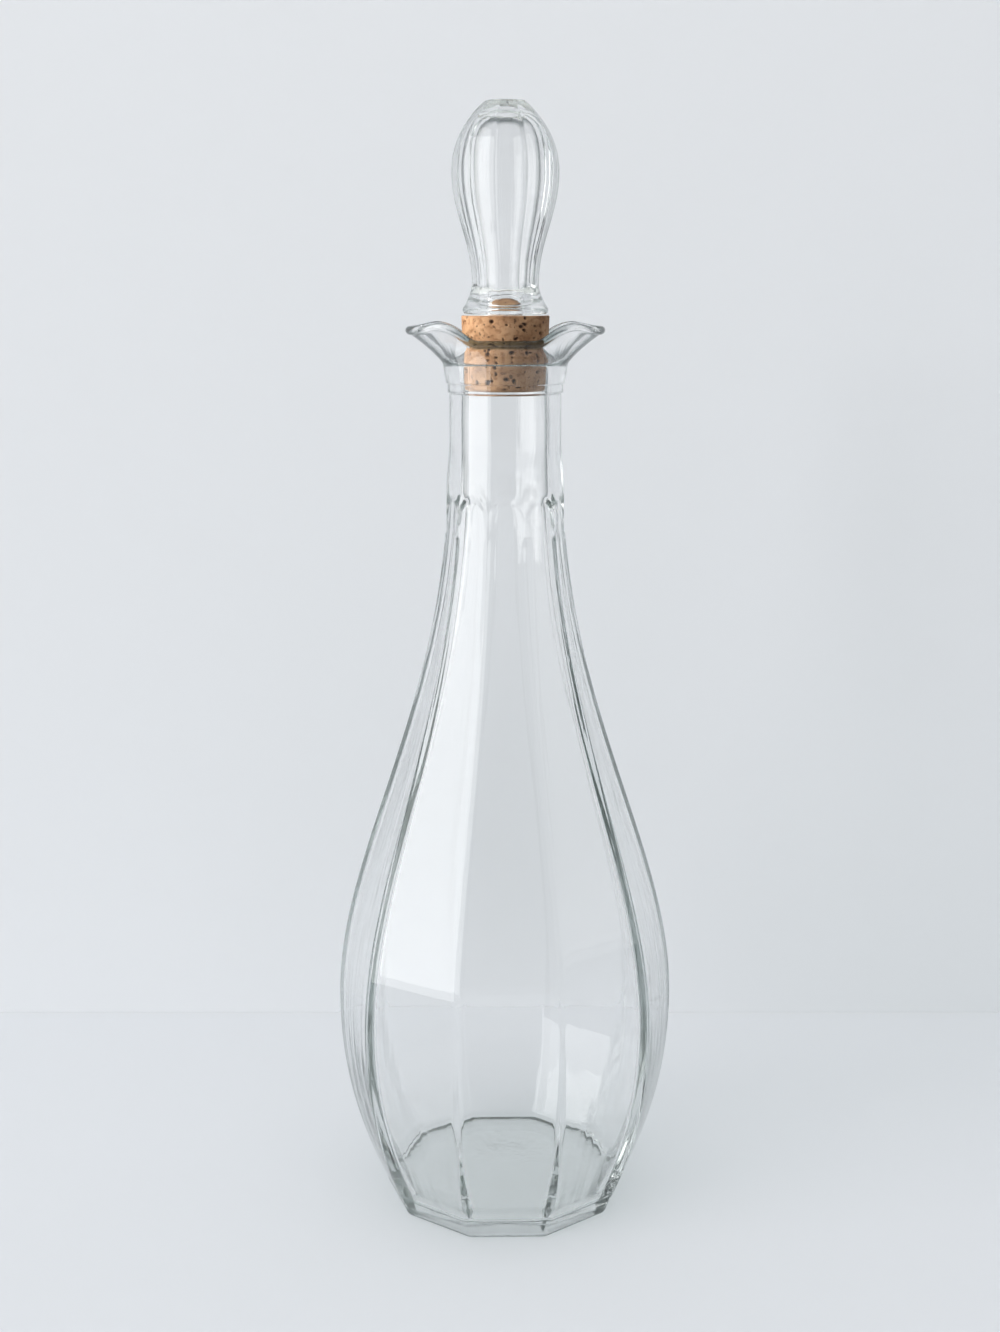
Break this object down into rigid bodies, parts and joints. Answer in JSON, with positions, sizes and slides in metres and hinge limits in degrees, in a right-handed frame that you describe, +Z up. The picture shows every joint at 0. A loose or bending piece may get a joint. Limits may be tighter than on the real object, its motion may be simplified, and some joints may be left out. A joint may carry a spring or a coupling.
{
  "type": "decanter",
  "caption": "Pear-shaped faceted glass decanter with a round neck and a two-winged pouring lip, closed by a tapered cork under a hollow faceted glass finial.",
  "frame": {"origin": "on the axis, in the plane of the foot's bearing ring", "axes": "+Z up along the axis from foot to finial, +X and -X towards the two pouring wings, -Y through the middle of a facet"},
  "size_m": [0.106, 0.1012, 0.34],
  "materials": {
    "clear_glass": "smooth pressed glass, clear with a faint green tint where it is thick",
    "finial_glass": "smooth pressed glass, clear",
    "natural_cork": "natural cork, matt, with dark pores"
  },
  "bodies": {
    "bottle": {"decanter_bottle": "clear_glass"},
    "stopper": {"stopper_cork": "natural_cork", "stopper_finial": "finial_glass"}
  },
  "joints": [
    {"name": "stopper_lift", "type": "slide", "parent": "bottle", "child": "stopper", "axis": [0, 0, 1], "range_m": [0, 0.06]}
  ]
}
